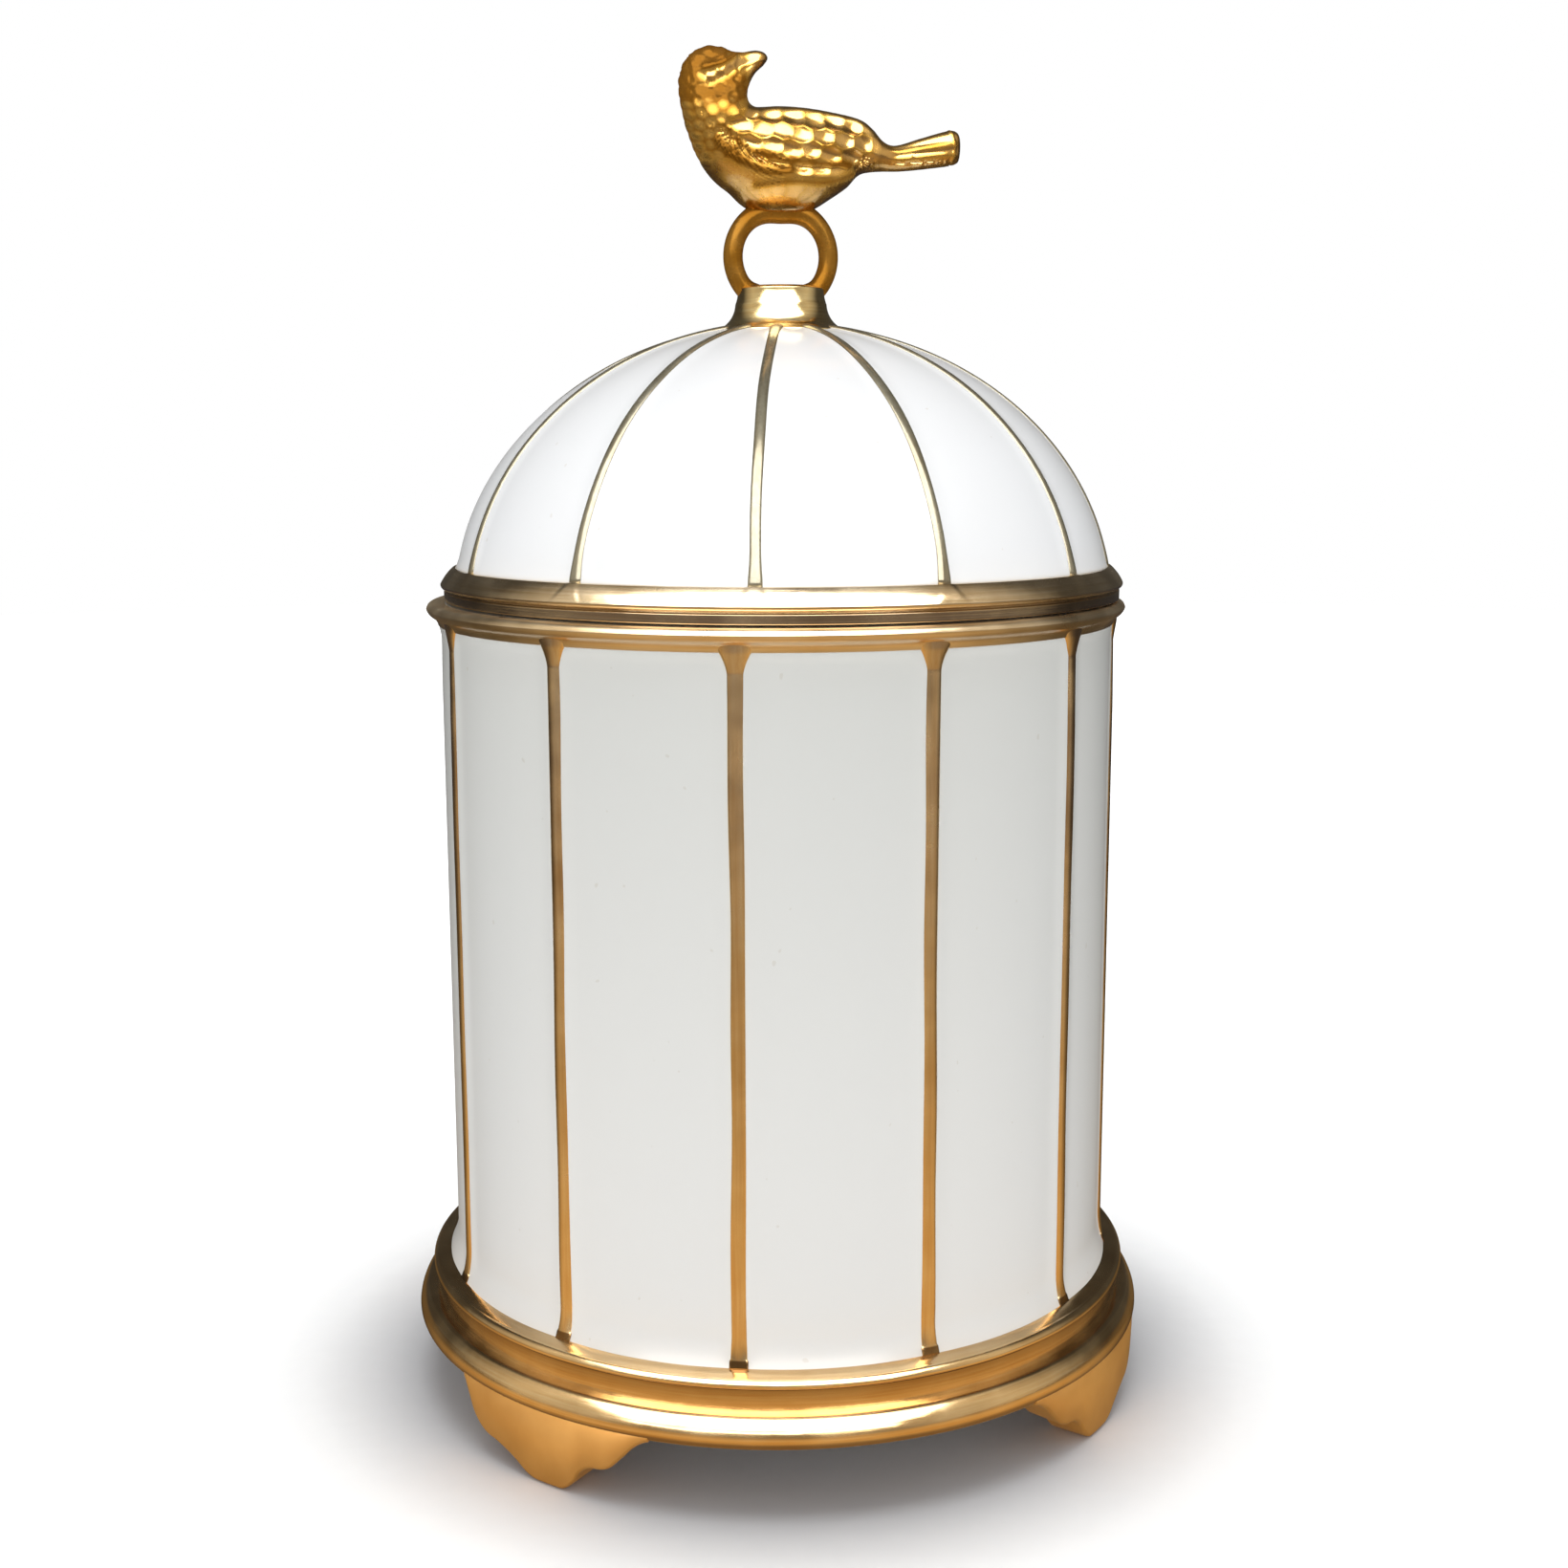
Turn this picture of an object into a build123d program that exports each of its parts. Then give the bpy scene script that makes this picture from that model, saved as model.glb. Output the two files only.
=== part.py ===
"""A birdcage-shaped porcelain jar with a lift-off domed lid and a bird finial.

Frame: the origin is on the floor under the jar's axis, +Z is up and -Y is the front.
The front is the middle of a white panel, between the two front feet. Millimetres.
"""
from build123d import *
import os
from math import sqrt

# ---- Driving dimensions ----
wall_radius = 50.0            # outside of the white wall
wall_thickness = 4.5
foot_height = 10.0            # floor to the underside of the base moulding
panel_bottom = 19.5           # lower edge of the white panels
panel_top = 116.4             # upper edge of the white panels
rim_top = 119.6               # the face that the lid sits over
lid_gap = 0.3                 # clearance between the lid and the rim
rib_count = 12
rib_pitch = 360 / rib_count
first_rib_azimuth = rib_pitch / 2
foot_turn = 1.7               # the feet stand a little round from the ribs above them, in degrees
foot_azimuths = {
    "foot_front_left": foot_turn - 45,
    "foot_front_right": foot_turn + 45,
    "foot_back_right": foot_turn + 135,
    "foot_back_left": foot_turn + 225,
}
lid_turn = 1.65               # the loose lid sits turned a little on the jar, in degrees
lid_shift = 0.9               # and stands a little off the jar's axis, towards +X

# ---- Jar ----
floor_top = foot_height + wall_thickness
bore_radius = wall_radius - wall_thickness
floor_corner_radius = 6.0
underside_recess = 1.0
foot_ring_width = 4.0
panel_flare = 0.9             # how far the foot of each white panel spreads
panel_flare_height = 3.0
rim_round = 1.2

rib_width = 2.1
rib_proud = 0.75              # how far a rib stands out of the wall
rib_head_width = 4.2          # the small spread head under the collar
rib_head_height = 2.9
rib_heel_width = 2.8          # the small block where a rib meets the base
rib_heel_height = 1.8
rib_heel_proud = 1.5

# ---- Base moulding ----
torus_radius = 56.25
torus_bottom_radius = 54.9
torus_top = 14.5
torus_top_radius = 54.5
cove_radius = 53.1
step_radius = 54.1
step_edge_bottom = 18.0
step_edge_top = 18.9

# ---- Feet ----
foot_outer_radius = 54.9      # under the moulding
foot_toe_radius = 56.2        # the feet splay out to this on the floor
foot_inner_radius = 49.5
foot_half_width = 16.2
foot_pad_half_width = 2.6

# ---- Rim collar ----
bead_radius = 52.2
bead_height = 118.7
bead_bottom = 117.6
bead_bottom_radius = 51.3
strip_radius = 50.3

# ---- Lid ----
lid_bottom = rim_top + lid_gap
band_top = 124.6
dome_radius = 48.9            # half-axes and centre of the dome's outer ellipse
dome_rise = 41.3
dome_centre = 118.4
dome_thickness = 4.0
dome_foot_radius = 49.0
flange_radius = 44.2
flange_thickness = 3.2
flange_bottom = 113.4
flange_top = 124.0
lid_step_radius = 50.4
lid_step_top = 121.3
band_groove_radius = 50.1
band_bottom = 121.8
band_radius = 50.9
dome_rib_width = 1.7
dome_rib_proud = 0.55

# ---- Finial ----
ferrule_radius = 9.6
ferrule_edge = 159.5
ferrule_waist_radius = 6.7
ferrule_waist = 163.0
ferrule_top_radius = 5.6
ferrule_top = 165.3
ring_centre = 169.6
ring_mean_radius = 7.15
ring_stock_radius = 1.43
stud_radius = 2.0
stud_hole_radius = 2.4
stud_bottom = 149.5
stud_top = 160.6
washer_radius = 6.5
washer_top = 155.3
washer_thickness = 1.2
nut_across_flats = 7.0
nut_height = 3.2


# ---- Bird, in the lid's own frame: x along the bird, positive towards the tail ----
bird_body_x = 0.6
bird_body_height = 183.6
bird_body_length = 28.0
bird_body_thickness = 14.0
breast_x = -9.7
breast_bottom = 186.5
breast_radius = 4.6
head_height = 194.35
head_radius = 4.95
beak_length = 5.4
beak_base_radius = 1.9
beak_tip_radius = 0.5
beak_middle_x = -4.6
beak_height = 196.6
beak_tilt = 76.0              # from straight up, towards the tail
tail_root = 11.0
tail_thickness = 5.6
saddle_radius = 5.4
saddle_thickness = 6.0

through = 80.0                # long enough to pass right through any piece


# ---- Helpers ----
def outline(start, *steps):
    """A closed face in the XZ plane, drawn in (x, z).

    Each step is either a point, reached in a straight line, or a pair (via, end), reached in an arc.
    """
    edges = []
    here = start
    for step in steps + (start,):
        if isinstance(step[0], tuple):
            via, end = step
            edges.append(ThreePointArc(here, via, end))
        else:
            end = step
            edges.append(Line(here, end))
        here = end
    return Plane.XZ * make_face(edges)


def turned(start, *steps):
    """A solid of revolution about Z, from an outline drawn in (radius, height)."""
    return revolve(outline(start, *steps), Axis.Z)


def upright(radius, bottom, top):
    """A cylinder on the Z axis between two heights."""
    return Pos(0, 0, bottom) * Cylinder(radius, top - bottom, align=(Align.CENTER, Align.CENTER, Align.MIN))


def to_azimuth(degrees_from_front):
    """Turns a piece made at the front, about the jar's axis, towards +X."""
    return Rot(0, 0, degrees_from_front)


def dome_solid(radius, rise):
    """The upper half of an ellipsoid of revolution on the dome's centre."""
    arc = EllipticalCenterArc((0, dome_centre), radius, rise, start_angle=0, arc_size=90)
    section = make_face([arc, Line(arc @ 1, (0, dome_centre)), Line((0, dome_centre), arc @ 0)])
    return revolve(Plane.XZ * section, Axis.Z)


def round_section_radius(width, proud):
    """Radius of a circle that stands proud of a surface by one distance and is a given width there."""
    return ((width / 2) ** 2 + proud**2) / (2 * proud)


def sphere_at(x, z, radius):
    return Pos(x, 0, z) * Sphere(radius)


# ---- Jar pieces ----
def jar_outside():
    """The jar's outer form, solid right through."""
    flare_via = (wall_radius + panel_flare * 0.25, panel_bottom + panel_flare_height * 0.4)
    recess_edge = wall_radius - foot_ring_width
    return turned(
        (0, foot_height + underside_recess),
        (recess_edge - underside_recess, foot_height + underside_recess),
        (recess_edge, foot_height),
        (wall_radius, foot_height),
        (wall_radius, panel_bottom),
        (wall_radius + panel_flare, panel_bottom),
        (flare_via, (wall_radius, panel_bottom + panel_flare_height)),
        (wall_radius, rim_top),
        (0, rim_top),
    )


def jar_body():
    corner = floor_corner_radius
    bend = corner * (1 - sqrt(0.5))
    hollow = turned(
        (0, floor_top),
        (bore_radius - corner, floor_top),
        ((bore_radius - bend, floor_top + bend), (bore_radius, floor_top + corner)),
        (bore_radius, rim_top - rim_round),
        (bore_radius + rim_round, rim_top),
        (bore_radius + rim_round, rim_top + 1),
        (0, rim_top + 1),
    )
    return jar_outside() - hollow


def body_rib():
    """A half-round rib up the front of the wall, with a spread head and a small heel."""
    section = round_section_radius(rib_width, rib_proud)
    bar_centre = wall_radius + rib_proud - section
    bar = Pos(0, -bar_centre, 0) * upright(section, panel_bottom, panel_top)
    half_head = rib_head_width / 2
    half_bar = rib_width / 2
    neck = panel_top - rib_head_height
    curve_x = half_bar + (half_head - half_bar) * 0.3
    curve_z = neck + rib_head_height * 0.6
    head_face = outline(
        (half_bar * 0.8, neck),
        ((curve_x, curve_z), (half_head, panel_top)),
        (-half_head, panel_top),
        ((-curve_x, curve_z), (-half_bar * 0.8, neck)),
    )
    head = extrude(head_face, amount=through, dir=(0, -1, 0)) & upright(wall_radius + rib_proud, 0, rim_top)
    half_heel = rib_heel_width / 2
    heel_top = panel_bottom + rib_heel_height
    heel_face = outline(
        (half_heel, panel_bottom),
        (half_heel, heel_top - 0.5),
        (half_heel - 0.5, heel_top),
        (0.5 - half_heel, heel_top),
        (-half_heel, heel_top - 0.5),
        (-half_heel, panel_bottom),
    )
    heel = extrude(heel_face, amount=through, dir=(0, -1, 0)) & upright(wall_radius + rib_heel_proud, 0, rim_top)
    return bar + head + heel - jar_outside()


def rim_collar():
    """A cavetto strip, a thin groove and a bead round the mouth."""
    return turned(
        (wall_radius, panel_top),
        (strip_radius, panel_top),
        ((strip_radius + 0.25, panel_top + 0.75), (bead_bottom_radius - 0.3, bead_bottom - 0.15)),
        (bead_bottom_radius, bead_bottom),
        ((bead_radius - 0.15, bead_bottom + 0.5), (bead_radius, bead_height)),
        ((bead_radius - 0.4, bead_height + 0.55), (wall_radius + 1.0, rim_top)),
        (wall_radius, rim_top),
    )


# ---- Base pieces ----
def base_torus():
    return turned(
        (wall_radius, foot_height),
        (torus_bottom_radius, foot_height),
        ((torus_radius, foot_height + 2.1), (torus_top_radius, torus_top)),
        (wall_radius, torus_top),
    )


def base_step():
    """The cove, and above it the top step that the panels stand on."""
    return turned(
        (wall_radius, torus_top),
        (torus_top_radius - 0.5, torus_top),
        ((cove_radius, torus_top + 1.7), (step_radius - 0.1, step_edge_bottom)),
        (step_radius, step_edge_bottom),
        ((step_radius - 0.1, step_edge_bottom + 0.5), (step_radius - 0.6, step_edge_top)),
        ((step_radius - 1.6, step_edge_top + 0.4), (wall_radius + panel_flare, panel_bottom)),
        (wall_radius, panel_bottom),
    )


def bracket_foot():
    """An ogee bracket that follows the base: a centre pad, a side lobe and a sweep up to the moulding."""
    half_pad = foot_pad_half_width
    right = (
        (half_pad, 0.0),
        ((half_pad + 1.5, 0.7), (half_pad + 2.3, 2.0)),
        ((half_pad + 2.7, 3.1), (half_pad + 3.7, 3.6)),
        (half_pad + 5.6, 3.7),
        ((half_pad + 8.2, 4.6), (half_pad + 9.6, 6.4)),
        ((half_pad + 11.0, 8.6), (foot_half_width, foot_height)),
    )
    start = right[0]
    forward = list(right[1:])
    ends = [step[-1] if isinstance(step[0], tuple) else step for step in right]
    mirrored = []
    for index in range(len(right) - 1, 0, -1):
        end_x, end_z = ends[index - 1]
        if isinstance(right[index][0], tuple):
            via_x, via_z = right[index][0]
            mirrored.append(((-via_x, via_z), (-end_x, end_z)))
        else:
            mirrored.append((-end_x, end_z))
    plate = outline(start, *forward, (-foot_half_width, foot_height), *mirrored)
    block = extrude(plate, amount=through, dir=(0, -1, 0))
    band = turned(
        (foot_inner_radius, 0),
        (foot_toe_radius, 0),
        (foot_outer_radius, foot_height),
        (foot_inner_radius, foot_height),
    )
    return block & band


# ---- Lid pieces ----
def dome_shell():
    outer = dome_solid(dome_radius, dome_rise) & upright(through, band_top, dome_centre + dome_rise + 1)
    foot = upright(dome_foot_radius, lid_bottom, band_top)
    inner = dome_solid(dome_radius - dome_thickness, dome_rise - dome_thickness)
    hollow = inner & upright(through, flange_top, dome_centre + dome_rise)
    hollow += upright(flange_radius, lid_bottom, flange_top)
    stud_hole = upright(stud_hole_radius, dome_centre, dome_centre + dome_rise + 1)
    return outer + foot - hollow - stud_hole


def dome_rib():
    """A half-round rib up the front of the dome, from the band to the ferrule."""
    section = round_section_radius(dome_rib_width, dome_rib_proud)
    sunk = section - dome_rib_proud
    path = EllipticalCenterArc((0, dome_centre), dome_radius - sunk, dome_rise - sunk, start_angle=4, arc_size=80)
    route = Rot(0, 0, 180) * (Plane.YZ * path)
    start_plane = Plane(origin=route @ 0, z_dir=route % 0)
    bar = sweep(start_plane * Circle(section), path=route)
    bar = bar & upright(through, band_top, dome_centre + dome_rise + 1)
    return bar - dome_solid(dome_radius, dome_rise) - upright(ferrule_radius, band_top, ring_centre)


def lid_band():
    return turned(
        (dome_foot_radius, lid_bottom),
        (lid_step_radius, lid_bottom),
        (lid_step_radius, lid_step_top),
        (band_groove_radius, lid_step_top + 0.25),
        (band_groove_radius + 0.5, band_bottom),
        (band_radius, band_bottom + 0.5),
        ((band_radius - 0.45, band_bottom + 1.9), (dome_foot_radius + 0.15, band_top)),
        (dome_foot_radius, band_top),
    )


def locating_flange():
    ring = upright(flange_radius, flange_bottom, flange_top)
    return ring - upright(flange_radius - flange_thickness, flange_bottom, flange_top)


# ---- Finial pieces ----
def ring_solid():
    return Pos(0, 0, ring_centre) * Rot(90, 0, 0) * Torus(ring_mean_radius, ring_stock_radius)


def ferrule():
    """A trumpet foot on the dome that rises to a flat seat inside the ring."""
    below = dome_centre + dome_rise / 2
    body = turned(
        (0, below),
        (ferrule_radius, below),
        (ferrule_radius, ferrule_edge),
        ((ferrule_waist_radius + 0.9, ferrule_edge + 1.3), (ferrule_waist_radius, ferrule_waist)),
        ((ferrule_waist_radius - 0.3, ferrule_waist + 1.2), (ferrule_top_radius, ferrule_top)),
        (0, ferrule_top),
    )
    return body - dome_solid(dome_radius, dome_rise) - ring_solid() - upright(stud_radius, below, stud_top)


def bird():
    """A small bird in profile: breast and head to -X, looking back towards +X, tail out to +X."""
    half_length = bird_body_length / 2
    half_thickness = bird_body_thickness / 2
    body_arc = EllipticalCenterArc((0, 0), half_length, half_thickness, start_angle=0, arc_size=180)
    body_half = make_face([body_arc, Line(body_arc @ 1, body_arc @ 0)])
    body = Pos(bird_body_x, 0, bird_body_height) * revolve(body_half, Axis.X)
    breast = sphere_at(breast_x, breast_bottom, breast_radius) + sphere_at(breast_x, head_height, head_radius)
    breast += Pos(breast_x, 0, 0) * upright(breast_radius, breast_bottom, head_height)
    beak_place = Pos(beak_middle_x, 0, beak_height) * Rot(0, beak_tilt, 0)
    beak = beak_place * Cone(beak_base_radius, beak_tip_radius, beak_length)
    tail_face = outline(
        (tail_root, 182.0),
        (26.4, 182.0),
        (27.3, 184.0),
        (26.8, 187.0),
        (25.6, 187.1),
        (16.5, 185.3),
        (13.0, 188.0),
        (tail_root, 188.0),
    )
    tail = extrude(tail_face, amount=tail_thickness / 2, both=True)
    saddle_box = Pos(0, 0, 177.0) * Box(2 * through, saddle_thickness, through)
    saddle = upright(saddle_radius, 174.5, 180.0) & saddle_box
    return body + breast + beak + tail + saddle - ring_solid()


def nut():
    across_corners_radius = nut_across_flats / sqrt(3)
    top = washer_top - washer_thickness
    prism = extrude(RegularPolygon(across_corners_radius, 6), amount=nut_height)
    return Pos(0, 0, top - nut_height) * prism - upright(stud_radius, stud_bottom, stud_top)


def washer():
    bottom = washer_top - washer_thickness
    return upright(washer_radius, bottom, washer_top) - upright(stud_hole_radius, bottom, washer_top)


# ---- Assembly ----
def jar_parts():
    parts = {
        "jar_body": jar_body(),
        "rim_collar": rim_collar(),
        "base_step": base_step(),
        "base_torus": base_torus(),
    }
    rib = body_rib()
    for index in range(rib_count):
        parts[f"body_rib_{index + 1:02d}"] = to_azimuth(first_rib_azimuth + index * rib_pitch) * rib
    foot = bracket_foot()
    for name, azimuth in foot_azimuths.items():
        parts[name] = to_azimuth(azimuth) * foot
    return parts


def lid_parts():
    parts = {
        "dome_shell": dome_shell(),
        "lid_band": lid_band(),
        "locating_flange": locating_flange(),
        "finial_ferrule": ferrule(),
        "finial_ring": ring_solid(),
        "finial_bird": bird(),
        "finial_stud": upright(stud_radius, stud_bottom, stud_top),
        "finial_washer": washer(),
        "finial_nut": nut(),
    }
    rib = dome_rib()
    for index in range(rib_count):
        parts[f"dome_rib_{index + 1:02d}"] = to_azimuth(first_rib_azimuth + index * rib_pitch) * rib
    place = Pos(lid_shift, 0, 0) * Rot(0, 0, lid_turn)
    return {name: place * part for name, part in parts.items()}


os.makedirs("parts", exist_ok=True)
for node, part in {**jar_parts(), **lid_parts()}.items():
    export_step(part, f"parts/{node}.step")
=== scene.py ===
"""Looks for the porcelain birdcage jar: finished meshes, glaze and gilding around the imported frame.

The shapes are worked out in millimetres, from the boxes of the CAD nodes, and MM turns them into
the frame's metres. Pieces of the lid are shaped about the lid's own axis and then put in place.
"""
import math
from collections import namedtuple

import bmesh
import bpy
import numpy as np
from mathutils import Matrix, Vector


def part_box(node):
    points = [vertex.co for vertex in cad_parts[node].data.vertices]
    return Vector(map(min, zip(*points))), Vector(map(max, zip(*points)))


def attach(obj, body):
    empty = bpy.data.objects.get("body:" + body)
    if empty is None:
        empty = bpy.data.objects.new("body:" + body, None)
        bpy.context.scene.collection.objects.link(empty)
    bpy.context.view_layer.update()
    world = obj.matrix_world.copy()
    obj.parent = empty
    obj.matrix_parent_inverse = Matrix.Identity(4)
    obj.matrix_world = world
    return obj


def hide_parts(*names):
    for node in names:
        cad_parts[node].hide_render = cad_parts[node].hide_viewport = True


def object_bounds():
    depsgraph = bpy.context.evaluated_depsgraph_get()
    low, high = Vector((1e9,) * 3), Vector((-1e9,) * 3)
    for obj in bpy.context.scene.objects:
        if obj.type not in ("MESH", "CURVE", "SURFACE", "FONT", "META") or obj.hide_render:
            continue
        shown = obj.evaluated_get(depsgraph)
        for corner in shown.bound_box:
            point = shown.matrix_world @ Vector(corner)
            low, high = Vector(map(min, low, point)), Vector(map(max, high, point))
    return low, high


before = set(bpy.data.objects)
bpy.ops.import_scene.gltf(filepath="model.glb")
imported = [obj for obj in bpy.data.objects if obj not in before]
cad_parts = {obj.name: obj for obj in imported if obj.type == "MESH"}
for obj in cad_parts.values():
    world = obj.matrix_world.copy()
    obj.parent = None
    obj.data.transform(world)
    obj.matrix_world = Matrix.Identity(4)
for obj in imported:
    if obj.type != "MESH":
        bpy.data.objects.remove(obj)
cad_low, cad_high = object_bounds()

MM = 0.001
TINY, FAR = 1e-12, 1e9
scene = bpy.context.scene
Extent = namedtuple("Extent", "x y radius bottom top")


# ---- Sizes read from the frame ----
def extent(node):
    """A CAD node's axis, radius and heights, in millimetres."""
    low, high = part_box(node)
    middle = (low + high) / 2 / MM
    return Extent(middle.x, middle.y, (high.x - low.x) / 2 / MM, low.z / MM, high.z / MM)


def azimuth_of(node, axis):
    """Where a CAD node stands round an axis, in radians from the front towards +X."""
    low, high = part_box(node)
    middle = (low + high) / 2 / MM
    return math.atan2(middle.x - axis.x, axis.y - middle.y)


JAR = extent("jar_body")
COLLAR = extent("rim_collar")
STEP = extent("base_step")
TORUS = extent("base_torus")
DOME = extent("dome_shell")
BAND = extent("lid_band")
FLANGE = extent("locating_flange")
FERRULE = extent("finial_ferrule")
RING = extent("finial_ring")
STUD = extent("finial_stud")
WASHER = extent("finial_washer")
NUT = extent("finial_nut")
RING_CENTRE = (RING.top + RING.bottom) / 2

RIB_COUNT = 12
BAY = 2 * math.pi / RIB_COUNT
FIRST_RIB = azimuth_of("body_rib_01", JAR)
LID_TURN = azimuth_of("dome_rib_01", DOME) - FIRST_RIB

WALL_RADIUS = JAR.radius - 0.9
WALL_THICKNESS = 4.5
PANEL_BOTTOM = STEP.top
PANEL_TOP = COLLAR.bottom
PANEL_FLARE = 1.25
PANEL_FLARE_HEIGHT = 4.4
DOME_CENTRE = BAND.top - 6.2
DOME_RADIUS = DOME.radius - 0.1
DOME_RISE = DOME.top - DOME_CENTRE
DOME_THICKNESS = 4.0
FLANGE_THICKNESS = 3.2
RIB_HALF_WIDTH = 1.05
DOME_RIB_HALF_WIDTH = 0.82


# ---- Shape helpers ----
def smooth(t):
    """Rises from 0 to 1 as t does, level at both ends."""
    t = np.clip(t, 0.0, 1.0)
    return t * t * (3 - 2 * t)


def bell(x, width):
    return np.exp(-((x / width) ** 2))


def arc(start, via, end, count=10):
    """Points on the circle through three points, after the first of them."""
    (ax, az), (bx, bz), (cx, cz) = start, via, end
    scale = 2 * (ax * (bz - cz) + bx * (cz - az) + cx * (az - bz))
    sa, sb, sc = ax * ax + az * az, bx * bx + bz * bz, cx * cx + cz * cz
    ox = (sa * (bz - cz) + sb * (cz - az) + sc * (az - bz)) / scale
    oz = (sa * (cx - bx) + sb * (ax - cx) + sc * (bx - ax)) / scale
    radius = math.hypot(ax - ox, az - oz)
    first = math.atan2(az - oz, ax - ox)
    to_via = (math.atan2(bz - oz, bx - ox) - first) % (2 * math.pi)
    sweep = (math.atan2(cz - oz, cx - ox) - first) % (2 * math.pi)
    if to_via > sweep:
        sweep -= 2 * math.pi
    turns = [first + sweep * (i + 1) / count for i in range(count)]
    return [(ox + radius * math.cos(t), oz + radius * math.sin(t)) for t in turns]


def drawn(start, *steps, arc_count=10):
    """A polyline in (radius, height). A step is a point, or a pair (via, end) for an arc."""
    points = [start]
    for step in steps:
        if isinstance(step[0], tuple):
            points += arc(points[-1], step[0], step[1], arc_count)
        else:
            points.append(step)
    return points


def softened(points, fillet, closed, segments=5, sharp=math.radians(22)):
    """Rounds the corners of a polyline, and puts a point close to each end of its straight runs."""
    count = len(points)
    points = [Vector(p) for p in points]
    out = []
    for i, here in enumerate(points):
        if not closed and i in (0, count - 1):
            out.append(here)
            continue
        before, after = points[i - 1], points[(i + 1) % count]
        back, ahead = (before - here), (after - here)
        turn = math.pi - back.angle(ahead, math.pi)
        if turn < sharp:
            out.append(here)
            continue
        reach = min(fillet * math.tan(turn / 2), back.length * 0.4, ahead.length * 0.4)
        enter = here + back.normalized() * reach
        leave = here + ahead.normalized() * reach
        if back.length > 6 * reach:
            out.append(enter + back.normalized() * reach)
        for k in range(segments + 1):
            t = k / segments
            out.append(enter * (1 - t) ** 2 + here * 2 * t * (1 - t) + leave * t * t)
        if ahead.length > 6 * reach:
            out.append(leave + ahead.normalized() * reach)
    return np.array([tuple(p) for p in out])


def grid_faces(rows, columns, wrap_rows, wrap_columns):
    """Quads over a grid of points, numbered row by row."""
    r = np.arange(rows if wrap_rows else rows - 1)[:, None]
    c = np.arange(columns if wrap_columns else columns - 1)[None, :]
    r_next, c_next = (r + 1) % rows, (c + 1) % columns
    corners = [r * columns + c, r * columns + c_next, r_next * columns + c_next, r_next * columns + c]
    return np.stack([np.broadcast_to(k, (len(r), c.shape[1])) for k in corners], axis=-1).reshape(-1, 4)


def turned_points(rows, angles, relief=None):
    """Points of a surface of revolution. relief(rows, angles) moves them along the outline's normal."""
    radius = rows[:, 0:1] + np.zeros_like(angles)[None, :]
    height = rows[:, 1:2] + np.zeros_like(angles)[None, :]
    if relief is not None:
        tangent = np.gradient(rows, axis=0)
        tangent /= np.maximum(np.linalg.norm(tangent, axis=1, keepdims=True), 1e-9)
        moved = relief(rows, angles)
        radius = radius + moved * tangent[:, 1:2]
        height = height - moved * tangent[:, 0:1]
    return np.stack([radius * np.sin(angles), -radius * np.cos(angles), height], axis=-1)


def turned_about_z(points, angle):
    """Points turned from the front towards +X."""
    c, s = math.cos(angle), math.sin(angle)
    x, y, z = points[..., 0], points[..., 1], points[..., 2]
    return np.stack([x * c - y * s, x * s + y * c, z], axis=-1)


def on_lid(points):
    """Puts points shaped about the lid's own axis where the lid stands."""
    return turned_about_z(points, LID_TURN) + np.array([DOME.x, DOME.y, 0.0])


def even_angles(count):
    return np.linspace(0, 2 * math.pi, count, endpoint=False)


def repeated_in_bays(share):
    """Angles at the same shares of every bay."""
    starts = FIRST_RIB + BAY * np.arange(RIB_COUNT)
    return (starts[:, None] + BAY * share[None, :]).ravel()


def bay_angles(per_bay):
    """Angles round the jar that crowd together beside each rib."""
    return repeated_in_bays(0.5 - 0.5 * np.cos(np.pi * np.arange(per_bay) / per_bay))


def from_rib(angles):
    """Angle to the nearest rib."""
    return np.abs((angles - FIRST_RIB + BAY / 2) % BAY - BAY / 2)


def make_piece(node, points, faces, body, material, painted_shade=None):
    """A smooth closed mesh that rides on a body and stands for a CAD node."""
    name = node + "_finish"
    mesh = bpy.data.meshes.new(name)
    mesh.from_pydata((points.reshape(-1, 3) * MM).tolist(), [], [list(map(int, f)) for f in faces])
    if painted_shade is not None:
        layer = mesh.attributes.new("painted_shade", "FLOAT", "POINT")
        layer.data.foreach_set("value", np.asarray(painted_shade, np.float32).ravel())
    work = bmesh.new()
    work.from_mesh(mesh)
    bmesh.ops.remove_doubles(work, verts=work.verts, dist=1e-8)
    bmesh.ops.recalc_face_normals(work, faces=work.faces)
    work.to_mesh(mesh)
    work.free()
    mesh.polygons.foreach_set("use_smooth", np.ones(len(mesh.polygons), bool))
    mesh.materials.append(material)
    piece = bpy.data.objects.new(name, mesh)
    scene.collection.objects.link(piece)
    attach(piece, body)
    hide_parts(node)


def turned_piece(node, rows, angles, body, material, relief=None, closed=True, painted_shade=None):
    """A turned piece. A closed outline goes right round its section, and an open one ends on the axis."""
    points = turned_points(rows, angles, relief)
    if body == "lid":
        points = on_lid(points)
    faces = grid_faces(len(rows), len(angles), closed, True)
    if painted_shade is not None:
        painted_shade = np.repeat(painted_shade, len(angles))
    make_piece(node, points, faces, body, material, painted_shade)


def squared_ring(node, inner, box, fillet, sides, material):
    """A ring of the lid with a square section."""
    corners = [(inner, box.bottom), (box.radius, box.bottom), (box.radius, box.top), (inner, box.top)]
    turned_piece(node, softened(corners, fillet, True), even_angles(sides), "lid", material)


def swept_piece(node, loops, body, material, painted_shade=None):
    """Skins closed loops of points in turn and closes both ends."""
    rows, columns = loops.shape[:2]
    faces = [list(f) for f in grid_faces(rows, columns, False, True)]
    faces.append(list(range(columns)))
    faces.append(list(range((rows - 1) * columns, rows * columns)))
    make_piece(node, loops, faces, body, material, painted_shade)


# ---- Materials ----
def grey(level):
    return (level, level, level)


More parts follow.
